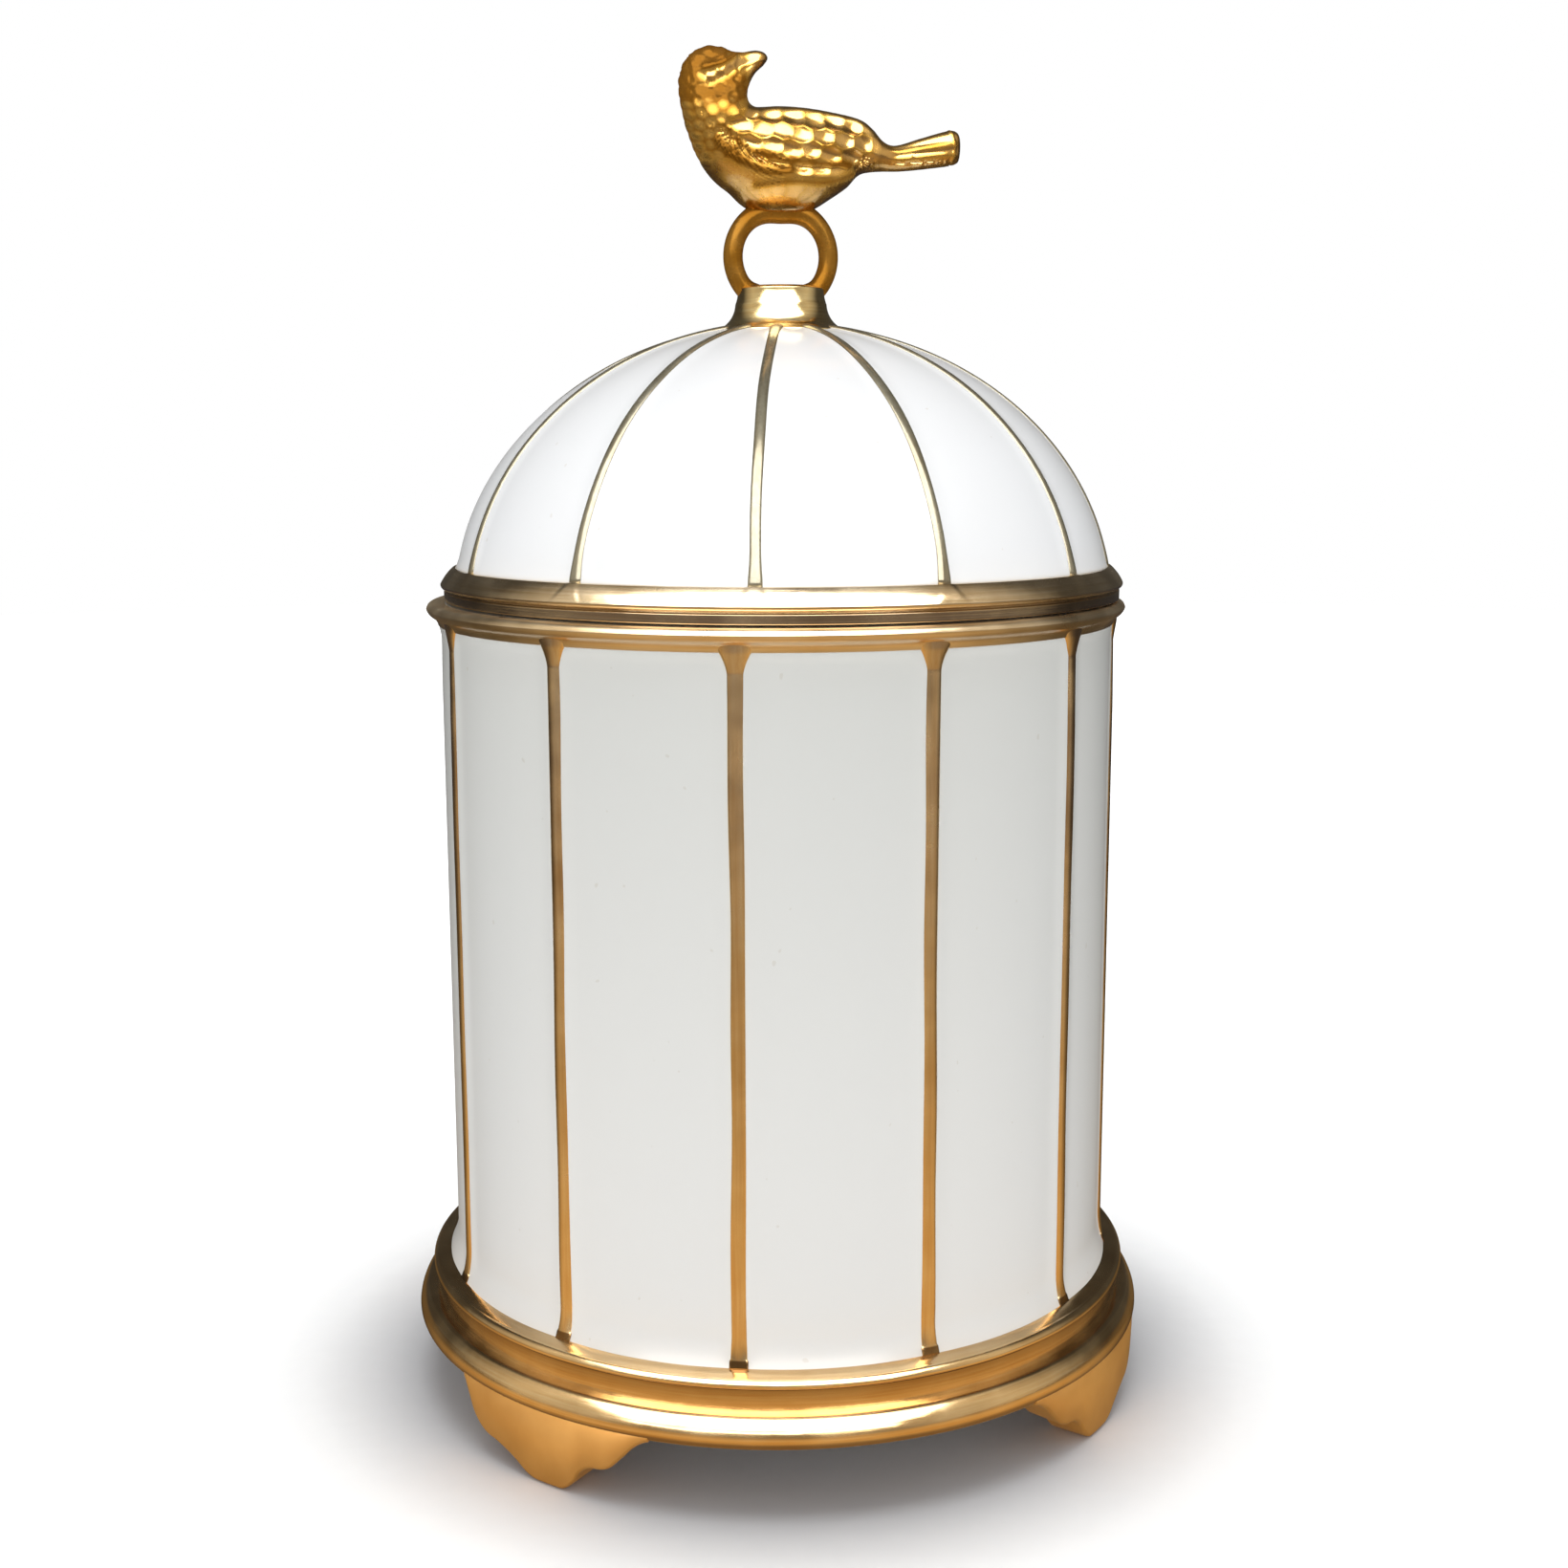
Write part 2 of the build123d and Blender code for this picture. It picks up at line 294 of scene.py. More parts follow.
WHITE = grey(1)
BLACK = grey(0)


def set_inputs(tree, node, inputs):
    """Gives a node's inputs fixed values, or links them to other nodes' outputs."""
    for name, value in inputs.items():
        if isinstance(value, bpy.types.NodeSocket):
            tree.links.new(value, node.inputs[name])
        else:
            node.inputs[name].default_value = value


def add(tree, kind, output, inputs, **settings):
    """Adds a node and returns one of its outputs."""
    node = tree.nodes.new(kind)
    for name, value in settings.items():
        setattr(node, name, value)
    set_inputs(tree, node, inputs)
    return node.outputs[output]


def blank_material(name):
    material = bpy.data.materials.new(name)
    material.use_nodes = True
    tree = material.node_tree
    return material, tree, tree.nodes["Principled BSDF"]


def noise(tree, scale, stretch=(1, 1, 1), detail=3.0, rough=0.5):
    """The value output of a noise texture in object coordinates, in cycles per metre."""
    place = add(tree, "ShaderNodeTexCoord", "Object", {})
    mapped = add(tree, "ShaderNodeMapping", "Vector", {"Vector": place, "Scale": stretch})
    inputs = {"Vector": mapped, "Scale": scale, "Detail": detail, "Roughness": rough}
    return add(tree, "ShaderNodeTexNoise", "Fac", inputs)


def ramp(tree, value, *stops):
    """A colour ramp. A stop is (position, colour)."""
    node = tree.nodes.new("ShaderNodeValToRGB")
    while len(node.color_ramp.elements) < len(stops):
        node.color_ramp.elements.new(0.5)
    for element, (position, colour) in zip(node.color_ramp.elements, stops):
        element.position = position
        element.color = (*colour, 1.0)
    tree.links.new(value, node.inputs["Fac"])
    return node.outputs["Color"]


def spread(tree, value, low, high, source=(0.3, 0.7)):
    """Maps a value from one range to another. The source is a noise's usual range unless given."""
    return add(tree, "ShaderNodeMapRange", "Result", {
        "Value": value, "From Min": source[0], "From Max": source[1], "To Min": low, "To Max": high,
    })


def graded(tree, value, low, high, *stops):
    """A colour ramp over a range of values."""
    return ramp(tree, spread(tree, value, 0, 1, (low, high)), *stops)


def bump(tree, value, strength, distance, under=None):
    inputs = {"Height": value, "Strength": strength, "Distance": distance}
    if under is not None:
        inputs["Normal"] = under
    return add(tree, "ShaderNodeBump", "Normal", inputs)


def multiplied(tree, colour, other):
    inputs = {"Factor": 1.0, "A": colour, "B": other}
    return add(tree, "ShaderNodeMix", "Result", inputs, data_type="RGBA", blend_type="MULTIPLY")


def porcelain(name, low_tone, high_tone):
    """White glaze with rare pinholes and a slightly wavy skin. Its colour runs from one tone at the foot of
    the panels to another at their top; on the body this is painted shade, lighter at the foot and darker
    towards the rim.
    """
    material, tree, shader = blank_material(name)
    place = add(tree, "ShaderNodeTexCoord", "Object", {})
    height = add(tree, "ShaderNodeSeparateXYZ", "Z", {"Vector": place})
    low, high = PANEL_BOTTOM * MM, PANEL_TOP * MM
    tone = graded(tree, height, low, high, (0.0, low_tone), (1.0, high_tone))
    pinholes = ramp(tree, noise(tree, 900, detail=0), (0.12, (0.92, 0.90, 0.87)), (0.15, WHITE))
    skin = bump(tree, noise(tree, 55, detail=0), 0.10, 0.0006)
    set_inputs(tree, shader, {
        "Base Color": multiplied(tree, tone, pinholes),
        "Normal": bump(tree, noise(tree, 1400, detail=2), 0.04, 0.0001, skin),
        "Roughness": 0.27,
        "Coat Weight": 0.25,
        "Coat Roughness": 0.12,
        "IOR": 1.5,
    })
    return material


def by_painted_shade(tree, *stops):
    """A colour ramp over the mesh attribute that marks where shade is painted, from the lit parts to the
    most shaded.
    """
    return ramp(tree, add(tree, "ShaderNodeAttribute", "Fac", {}, attribute_name="painted_shade"), *stops)


def gilding(name, pale, deep, roughness, streaks, metallic=1.0):
    """Fired gold lustre, brushed on: streaks run along the moulding, and thin places are deeper. Shade is
    painted in dark brown where the mesh marks it.
    """
    material, tree, shader = blank_material(name)
    strokes = noise(tree, 1.0, streaks, detail=4, rough=0.6)
    patches = noise(tree, 120, detail=3)
    brushed = ramp(tree, strokes, (0.30, deep), (0.62, pale))
    patchy = ramp(tree, patches, (0.30, (0.90, 0.86, 0.80)), (0.60, WHITE))
    # Painted shade: darker where the mesh marks creases, joins and shaded faces.
    painted_shade_tint = by_painted_shade(tree, (0.1, WHITE), (0.9, (0.30, 0.24, 0.17)))
    skin = bump(tree, strokes, 0.25, 0.00006)
    set_inputs(tree, shader, {
        "Base Color": multiplied(tree, multiplied(tree, brushed, patchy), painted_shade_tint),
        "Roughness": spread(tree, patches, *roughness),
        "Normal": bump(tree, noise(tree, 160, detail=2), 0.3, 0.00025, skin),
        "Metallic": metallic,
        "Coat Weight": 0.35,
        "Coat Roughness": 0.10,
    })
    return material


def cast_gilt(name):
    """Gilded casting: bright on the raised parts, with shade painted in brown over its hollows and shaded
    parts, which are also less metallic and bare of coat.
    """
    material, tree, shader = blank_material(name)
    painted_shade_tint = by_painted_shade(tree, (0.12, WHITE), (0.85, (0.29, 0.21, 0.10)))
    gold = ramp(tree, noise(tree, 300, detail=4), (0.32, (0.70, 0.37, 0.055)), (0.64, (0.80, 0.47, 0.11)))
    set_inputs(tree, shader, {
        "Base Color": multiplied(tree, gold, painted_shade_tint),
        "Roughness": spread(tree, noise(tree, 500), 0.19, 0.32),
        "Normal": bump(tree, noise(tree, 900, detail=3), 0.25, 0.00008),
        "Metallic": by_painted_shade(tree, (0.15, WHITE), (0.85, grey(0.3))),
        "Coat Weight": by_painted_shade(tree, (0.08, grey(0.9)), (0.35, BLACK)),
        "Coat IOR": 1.85,
        "Specular IOR Level": 0.02,
        "Coat Roughness": 0.10,
    })
    return material


def plain_brass(name):
    """Turned brass of the fixing, with fine turning marks and a little tarnish."""
    material, tree, shader = blank_material(name)
    marks = noise(tree, 1.0, (500, 500, 9000), detail=2)
    set_inputs(tree, shader, {
        "Base Color": ramp(tree, noise(tree, 420), (0.35, (0.56, 0.38, 0.15)), (0.65, (0.83, 0.62, 0.28))),
        "Roughness": spread(tree, noise(tree, 260), 0.22, 0.42),
        "Normal": bump(tree, marks, 0.3, 0.00005),
        "Metallic": 1.0,
    })
    return material


ALONG_RIM = (60, 60, 2600)
ALONG_RIB = (1500, 1500, 45)
WARM_PALE, WARM_DEEP = (0.93, 0.70, 0.40), (0.84, 0.56, 0.26)
COOL_PALE, COOL_DEEP = (0.88, 0.72, 0.50), (0.76, 0.58, 0.35)
DOME_RIB_SHADED_PALE, DOME_RIB_SHADED_DEEP = (0.34, 0.31, 0.225), (0.27, 0.24, 0.165)
YELLOW_PALE, YELLOW_DEEP = (0.88, 0.72, 0.40), (0.78, 0.58, 0.27)

# Painted shade: the body's glaze is lighter at the foot and darker towards the rim, for the light the table
# throws up.
body_white = porcelain("body_porcelain", (0.765, 0.765, 0.752), (0.615, 0.62, 0.592))
DOME_TONE = (0.89, 0.90, 0.91)
dome_white = porcelain("dome_porcelain", DOME_TONE, DOME_TONE)
rim_gold = gilding("rim_gold", COOL_PALE, COOL_DEEP, (0.14, 0.26), ALONG_RIM)
collar_gold = gilding("collar_gold", COOL_PALE, COOL_DEEP, (0.26, 0.38), ALONG_RIM)
ferrule_gold = gilding("ferrule_gold", YELLOW_PALE, YELLOW_DEEP, (0.12, 0.24), ALONG_RIM)
base_gold = gilding("base_gold", WARM_PALE, WARM_DEEP, (0.12, 0.25), ALONG_RIM)
# The feet's gold is a deeper orange and less metallic than the rest: the table's orange reflection painted
# into its colour.
foot_gold = gilding("foot_gold", (0.68, 0.34, 0.078), (0.64, 0.31, 0.065), (0.42, 0.50), (90, 90, 90), 0.42)
rib_gold = gilding("rib_gold", WARM_PALE, WARM_DEEP, (0.14, 0.28), ALONG_RIB)
# The dome's ribs are a darker, greyer, less metallic copy of the gold: painted shade for the dark they
# reflect.
dome_rib_gold = gilding("dome_rib_gold", DOME_RIB_SHADED_PALE, DOME_RIB_SHADED_DEEP, (0.16, 0.30), ALONG_RIB, 0.6)
finial_gilt = cast_gilt("finial_gilt")
fixing_brass = plain_brass("fixing_brass")


# ---- Jar ----
def panel_edge(across, along, corner=2.6):
    """Distance in from the edge of a panel with rounded corners."""
    straight = np.minimum(across, along)
    rounded = corner - np.hypot(corner - across, corner - along)
    return np.where((across < corner) & (along < corner), rounded, straight)


def panel_foot(z):
    """How far the foot of the wall spreads at a height."""
    return PANEL_FLARE * np.clip(1 - (z - PANEL_BOTTOM) / PANEL_FLARE_HEIGHT, 0, 1) ** 1.7


def jar_relief(rows, angles):
    """Glaze that rises to the ribs and the collar, and spreads at the foot of each panel."""
    r, z = rows[:, 0:1], rows[:, 1:2]
    across = from_rib(angles)[None, :] * WALL_RADIUS - RIB_HALF_WIDTH * 0.9
    edge = np.maximum(panel_edge(across, PANEL_TOP - z), 0)
    shown = (r > WALL_RADIUS - 0.01) & (z >= PANEL_BOTTOM - 0.01) & (z <= PANEL_TOP + 0.01)
    crowned = 0.10 * smooth(edge / 9)
    rise = 0.34 * bell(edge, 1.15) * smooth((z - PANEL_BOTTOM) / 4)
    return np.where(shown, rise + crowned + panel_foot(z), 0.0)


def make_jar():
    bore = WALL_RADIUS - WALL_THICKNESS
    floor = JAR.bottom + WALL_THICKNESS
    corner = 6.0
    bend = corner * (1 - math.sqrt(0.5))
    under = drawn(
        (0.0, JAR.bottom + 1),
        (WALL_RADIUS - 5, JAR.bottom + 1),
        (WALL_RADIUS - 4, JAR.bottom),
        (WALL_RADIUS, JAR.bottom),
        (WALL_RADIUS, PANEL_BOTTOM - 0.5),
    )
    share = 0.5 - 0.5 * np.cos(np.pi * np.linspace(0, 1, 72))
    heights = PANEL_BOTTOM + (PANEL_TOP - PANEL_BOTTOM) * share
    wall = np.stack([np.full_like(heights, WALL_RADIUS), heights], axis=1)
    inside = drawn(
        (WALL_RADIUS, PANEL_TOP + 0.5),
        (WALL_RADIUS, JAR.top),
        (bore + 1.2, JAR.top),
        (bore, JAR.top - 1.2),
        (bore, floor + corner),
        ((bore - bend, floor + bend), (bore - corner, floor)),
        (0.0, floor),
    )
    rows = np.concatenate([softened(under, 0.5, False), wall, softened(inside, 0.7, False)])
    turned_piece("jar_body", rows, bay_angles(30), "jar", body_white, jar_relief, False)


def rib_section(half_width, proud, sunk=0.6, count=15):
    """A half-round section, open towards the wall, as (across, out) pairs."""
    turn = np.linspace(-math.pi / 2, math.pi / 2, count)
    front = np.stack([half_width * np.sin(turn), proud * np.cos(turn)], axis=1)
    back = np.array([[half_width * 0.8, -sunk], [-half_width * 0.8, -sunk]])
    return np.concatenate([front, back])


def share_up(z):
    """How far up the panels a height is, from 0 to 1."""
    return (z - PANEL_BOTTOM) / (PANEL_TOP - PANEL_BOTTOM)


def rib_size(z):
    """Half width of a body rib, how far it stands out, and how far down in its heel a height is."""
    up = share_up(z)
    below = PANEL_TOP - z
    half = RIB_HALF_WIDTH * (0.98 + 0.12 * (2 * up - 1) ** 2) + 1.0 * max(0.0, 1 - below / 2.9) ** 1.7
    proud = float(np.interp(below, [-1.3, -0.5, 0.0, 2.7, 12.0], [0.98, 0.93, 0.90, 0.48, 0.62]))
    heel = 1 - float(smooth((z - PANEL_BOTTOM - 0.95) / 0.3))
    return half + 0.16 * heel, proud - 0.5 * float(panel_foot(z)), heel


def make_body_rib(index):
    """A rib that narrows in the middle, leans out into the collar and ends in a small heel, darkened with
    painted shade where it meets the base.
    """
    azimuth = FIRST_RIB + BAY * index
    heights = np.concatenate([
        np.linspace(PANEL_BOTTOM, PANEL_BOTTOM + 4.6, 24)[:-1],
        np.linspace(PANEL_BOTTOM + 4.6, PANEL_TOP - 6, 66)[:-1],
        np.linspace(PANEL_TOP - 6, PANEL_TOP + 1.3, 36),
    ])
    loops, painted_shade = [], []
    for z in heights:
        up = share_up(z)
        half, proud, heel = rib_size(z)
        drift = 0.09 * math.sin(2.1 * index + 7 * up) + 0.05 * math.sin(5.3 * index + 19 * up)
        half += 0.03 * math.sin(3.7 * index + 23 * up)
        section = rib_section(half, proud)
        reach = WALL_RADIUS + 0.15 + float(panel_foot(z)) + section[:, 1]
        loops.append(np.stack([section[:, 0] + drift, -reach, np.full(len(section), z)], axis=1))
        # The heel is darkened with painted shade where the rib meets the base.
        painted_shade.append(np.full(len(section), heel))
    node = f"body_rib_{index + 1:02d}"
    points = turned_about_z(np.array(loops), azimuth)
    swept_piece(node, points, "jar", rib_gold, painted_shade)


def make_collar():
    inner, low, top, bead = WALL_RADIUS, COLLAR.bottom, COLLAR.top, COLLAR.radius
    outline = drawn(
        (inner - 0.6, low),
        (inner + 0.5, low),
        ((inner + 0.74, low + 0.62), (inner + 1.2, low + 1.15)),
        ((bead - 0.38, low + 1.62), (bead, low + 2.3)),
        ((bead - 0.24, low + 2.8), (bead - 0.95, top)),
        (inner - 0.6, top),
    )
    rows = softened(outline, 0.12, True)
    turned_piece("rim_collar", rows, even_angles(288), "jar", collar_gold)


def make_base_torus():
    inner, low, top, out = WALL_RADIUS, TORUS.bottom, TORUS.top, TORUS.radius
    outline = drawn(
        (inner - 1, low),
        (out - 1.35, low),
        ((out - 0.3, low + 0.42), (out, low + 1.3)),
        ((out - 0.1, low + 2.1), (out - 0.35, low + 2.8)),
        ((out - 0.68, low + 3.45), (out - 1.15, low + 4.0)),
        ((out - 1.5, low + 4.26), (out - 1.95, low + 4.4)),
        (out - 2.9, top),
        (inner - 1, top),
    )
    rows = softened(outline, 0.35, True)
    crease_shade = smooth((rows[:, 1] - low - 3.9) / 0.4) * smooth((out - 0.9 - rows[:, 0]) / 0.5)
    turned_piece(
        "base_torus", rows, even_angles(288), "jar", base_gold, painted_shade=0.4 * crease_shade,
    )


def make_base_step():
    inner, low, top, out = WALL_RADIUS, STEP.bottom, STEP.top, STEP.radius
    outline = drawn(
        (inner - 1, low - 0.4),
        (out - 0.72, low - 0.4),
        (out - 0.72, low + 0.2),
        (out - 0.68, low + 3.0),
        ((out - 0.58, low + 3.3), (out - 0.12, low + 3.5)),
        ((out - 0.22, low + 4.12), (out - 1.0, low + 4.62)),
        ((out - 1.9, low + 4.85), (inner + PANEL_FLARE - 0.3, top + 0.1)),
        (inner - 1, top + 0.1),
        arc_count=14,
    )
    rows = softened(outline, 0.2, True)
    # Painted shade under the step's lip, and over its top towards the wall.
    lip_shade = bell(rows[:, 1] - low - 3.2, 0.30) * (rows[:, 0] > out - 1)
    lip_shade = lip_shade + 0.38 * smooth((rows[:, 1] - low - 4.4) / 0.25)
    turned_piece(
        "base_step", rows, even_angles(288), "jar", base_gold, painted_shade=lip_shade,
    )


# A bracket foot's lower edge, in (across, height). Distances across are positive towards the jar's side.
FOOT_EDGE = np.array(drawn(
    (-15.5, 10.0),
    ((-13.5, 8.9), (-12.0, 7.4)),
    (-9.8, 5.2),
    ((-8.6, 4.6), (-7.5, 4.4)),
    ((-5.5, 3.9), (-4.2, 2.5)),
    ((-3.0, 0.9), (-1.6, 0.0)),
    (3.0, 0.0),
    ((4.5, 0.35), (6.0, 1.15)),
    ((9.3, 2.6), (12.0, 3.2)),
    ((15.5, 4.4), (17.5, 7.0)),
    (19.2, 10.0),
))


def foot_underside(across):
    return np.interp(across, FOOT_EDGE[:, 0], FOOT_EDGE[:, 1])


def make_foot(node):
    """A bracket plate that follows the base, rounded along its lower edges."""
    box = extent(node)
    azimuth = azimuth_of(node, JAR)
    outer, inner = TORUS.radius - 0.1, TORUS.radius - 6.75
    side = math.copysign(1, math.sin(2 * azimuth))
    top = TORUS.bottom + 1.3
    loops = []
    for across in np.linspace(FOOT_EDGE[0, 0], FOOT_EDGE[-1, 0], 140) * side:
        near = [foot_underside(across * side + k * 0.28) for k in (-1, 0, 1)]
        low = min(box.bottom + (near[0] + 2 * near[1] + near[2]) / 4, top - 0.5)
        soft = min(0.75, (top - low) * 0.4)
        edge = []
        for k in range(7):
            t = k / 6 * math.pi / 2
            edge.append((outer - soft + soft * math.sin(t), low + soft - soft * math.cos(t)))
        edge += [(outer, top - 0.2), (outer - 0.3, top), (inner + 0.3, top), (inner, top - 0.2)]
        for k in range(5):
            t = k / 4 * math.pi / 2
            edge.append((inner + soft - soft * math.cos(t), low + soft - soft * math.sin(t)))
        turn = across / outer
        loops.append([(r * math.sin(turn), -r * math.cos(turn), z) for r, z in edge])
    points = turned_about_z(np.array(loops), azimuth)
    swept_piece(node, points, "jar", foot_gold)


# ---- Lid ----
def dome_relief(rows, angles):
    """Glaze that rises to the ribs and the band, round panels with rounded lower corners."""
    r, z = rows[:, 0:1], rows[:, 1:2]
    outside = np.hypot(r / DOME_RADIUS, (z - DOME_CENTRE) / DOME_RISE) > 0.985
    outside &= (z > BAND.top - 0.01) & (r > FERRULE.radius * 0.8)
    across = from_rib(angles)[None, :] * r - DOME_RIB_HALF_WIDTH * 0.8
    edge = np.maximum(panel_edge(across, (z - BAND.top) * 1.05, 1.6), 0)
    return np.where(outside, 0.22 * bell(edge, 0.95) + 0.06 * smooth(edge / 8), 0.0)


def dome_point(turn, inset=0.0):
    """A point of the dome's outline, from 0 at its widest to a quarter turn at its top."""
    return (
        (DOME_RADIUS - inset) * math.cos(turn),
        DOME_CENTRE + (DOME_RISE - inset) * math.sin(turn),
    )


def make_dome():
    hole = 2.4
    start = math.asin((BAND.top - DOME_CENTRE) / DOME_RISE)
    finish = math.acos(hole / DOME_RADIUS)
    outer = [dome_point(turn) for turn in np.linspace(start, finish, 85)]
    inner_start = math.asin((FLANGE.top - DOME_CENTRE) / (DOME_RISE - DOME_THICKNESS))
    inner_finish = math.acos(hole / (DOME_RADIUS - DOME_THICKNESS))
    inner_turns = np.linspace(inner_finish, inner_start, 51)
    inner = [dome_point(turn, DOME_THICKNESS) for turn in inner_turns]
    foot = [
        (FLANGE.radius, FLANGE.top),
        (FLANGE.radius, DOME.bottom),
        (DOME.radius, DOME.bottom),
        (DOME.radius, BAND.top - 0.2),
    ]
    rows = softened(outer + inner + foot, 0.3, True, sharp=math.radians(35))
    turned_piece("dome_shell", rows, bay_angles(26), "lid", dome_white, dome_relief)


def make_flange():
    inner = FLANGE.radius - FLANGE_THICKNESS
    squared_ring("locating_flange", inner, FLANGE, 0.8, 240, dome_white)


def band_relief(rows, angles):
    """The foot of each rib, spreading as it runs down over the band."""
    r, z = rows[:, 0:1], rows[:, 1:2]
    down = np.clip((BAND.top - z) / 2.6, 0, 1)
    half = 0.9 + 1.7 * down**1.2
    away = from_rib(angles)[None, :] * BAND.radius
    shown = (r > DOME.radius + 0.02) & (z > BAND.bottom + 2.0)
    foot = 0.07 * (1 - smooth((away - half + 0.5) / 1.0)) * (1 - down**4)
    return np.where(shown, foot, 0.0)


def band_angles():
    """Angles that crowd together at the foot of each rib."""
    edge = 0.11
    close = np.linspace(-edge, edge, 27)[:-1]
    return repeated_in_bays(np.concatenate([close, np.linspace(edge, 1 - edge, 27)[:-1]]))


def make_band():
    inner, low, top, out = DOME.radius, BAND.bottom, BAND.top, BAND.radius
    outline = drawn(
        (inner - 0.4, low),
        (out - 0.5, low),
        (out - 0.48, low + 1.3),
        (out - 0.85, low + 1.5),
        (out - 0.6, low + 1.7),
        ((out - 0.12, low + 1.95), (out, low + 2.35)),
        ((out - 0.78, low + 3.6), (inner + 0.08, top)),
        (inner - 0.4, top + 0.1),
        arc_count=18,
    )
    rows = softened(outline, 0.14, True)
    step_shade = 0.55 * (1 - smooth((rows[:, 1] - low - 1.5) / 0.3))
    turned_piece(
        "lid_band", rows, band_angles(), "lid", rim_gold, band_relief, painted_shade=step_shade,
    )


def make_dome_rib(index):
    """A half-round rib over the dome, a little wider where it meets the band and the ferrule."""
    start = math.asin((BAND.top - DOME_CENTRE - 0.1) / DOME_RISE)
    finish = math.acos((FERRULE.radius - 1.2) / DOME_RADIUS)
    loops = []
    for i in range(81):
        share = i / 80
        turn = start + (finish - start) * share
        r, z = dome_point(turn)
        out = Vector((math.cos(turn) / DOME_RADIUS, math.sin(turn) / DOME_RISE)).normalized()
        ends = float(bell(share, 0.05) + bell(1 - share, 0.06))
        drift = 0.07 * math.sin(1.9 * index + 6 * share) + 0.04 * math.sin(4.1 * index + 17 * share)
        section = rib_section(DOME_RIB_HALF_WIDTH * (0.94 + 0.28 * ends), 0.38 + 0.08 * ends)
        reach = section[:, 1] + 0.14
        loops.append(np.stack([section[:, 0] + drift, -(r + reach * out.x), z + reach * out.y], axis=1))
    node = f"dome_rib_{index + 1:02d}"
    points = on_lid(turned_about_z(np.array(loops), FIRST_RIB + BAY * index))
    swept_piece(node, points, "lid", dome_rib_gold)


# ---- Finial ----
def make_ferrule():
    edge = FERRULE.radius
    skirt = DOME.top - 0.2
    below = DOME_CENTRE + DOME_RISE * math.sin(math.acos(edge / DOME_RADIUS)) - 0.3
    top = FERRULE.top
    outline = drawn(
        (0.0, below - 0.4),
        (edge - 1.2, below),
        (edge, below + 0.15),
        (edge, below + 0.5),
        ((edge - 2.05, skirt + 1.05), (6.75, top - 2.6)),
        ((6.42, top - 1.4), (6.35, top - 0.35)),
        (5.95, top),
        (0.0, top),
        arc_count=14,
    )
    rows = softened(outline, 0.3, False)
    # Painted shade round the ferrule's foot, where it meets the dome.
    turned_piece(
        "finial_ferrule", rows, even_angles(128), "lid", ferrule_gold,
        closed=False, painted_shade=0.25 * bell(rows[:, 1] - below, 0.6),
    )


def make_ring():
    """A ring whose hole is a little flattened under the bird and filleted into its seat."""
    stock = 1.43
    middle = RING.radius - stock
    around, section = even_angles(160), even_angles(32)
    top_swell = 1.0 * bell((around - math.pi / 2), 0.55)
    seat = [bell((around - a), 0.2) for a in (math.radians(307), math.radians(233))]
    swell = top_swell + 0.6 * (seat[0] + seat[1])
    half = stock + swell / 2
    rho = middle - swell[:, None] / 2 + half[:, None] * np.cos(section)[None, :]
    depth = 1.62 * np.sin(section)[None, :] + np.zeros_like(rho)
    points = np.stack([
        rho * np.cos(around)[:, None],
        depth,
        RING_CENTRE + rho * np.sin(around)[:, None],
    ], axis=-1)
    # Painted shade all over the ring, deeper at its top under the bird.
    painted_shade = 0.78 + 0.1 * bell(around - math.pi / 2, 0.5)[:, None] + np.zeros_like(rho)
    faces = grid_faces(len(around), len(section), True, True)
    make_piece("finial_ring", on_lid(points), faces, "lid", finial_gilt, painted_shade)


def flowing_outline(points, per_span=12):
    """A closed smooth curve through points."""
    p = np.array(points, float)
    t = (np.arange(per_span) / per_span)[None, :, None]
    a, b, c, d = (np.roll(p, k, axis=0)[:, None, :] for k in (1, 0, -1, -2))
    curve = 0.5 * (2 * b + (c - a) * t + (2 * a - 5 * b + 4 * c - d) * t**2 + (3 * b - a - 3 * c + d) * t**3)
    return curve.reshape(-1, 2)


def sides_of(curve):
    """The two ends of each side of a closed curve."""
    return zip(curve, np.roll(curve, -1, axis=0))


def distance_to(curve, x, z):
    """Distance to a closed curve from every point of a grid."""
    nearest = np.full(x.shape, FAR)
    for (ax, az), (bx, bz) in sides_of(curve):
        length = max((bx - ax) ** 2 + (bz - az) ** 2, TINY)
        t = np.clip(((x - ax) * (bx - ax) + (z - az) * (bz - az)) / length, 0, 1)
        nearest = np.minimum(nearest, np.hypot(x - ax - t * (bx - ax), z - az - t * (bz - az)))
    return nearest


def depth_inside(curve, x, z):
    """Distance inside a closed curve, negative outside it, at every point of a grid."""
    inside = np.zeros(x.shape, bool)
    for (ax, az), (bx, bz) in sides_of(curve):
        rise = bz - az if abs(bz - az) > TINY else TINY
        inside ^= ((az > z) != (bz > z)) & (x < ax + (z - az) * (bx - ax) / rise)
    nearest = distance_to(curve, x, z)
    return np.where(inside, nearest, -nearest)


def inflated(distance, step, rounds=2600):
    """Squared half thickness of a form blown up evenly from a flat outline."""
    cover = np.clip(0.5 + distance / step, 0, 1)
    height = np.zeros_like(distance)
    for _ in range(rounds):
        around = height[:-2, 1:-1] + height[2:, 1:-1] + height[1:-1, :-2] + height[1:-1, 2:]
        height[1:-1, 1:-1] = cover[1:-1, 1:-1] * (around / 4 + step * step)
    return height


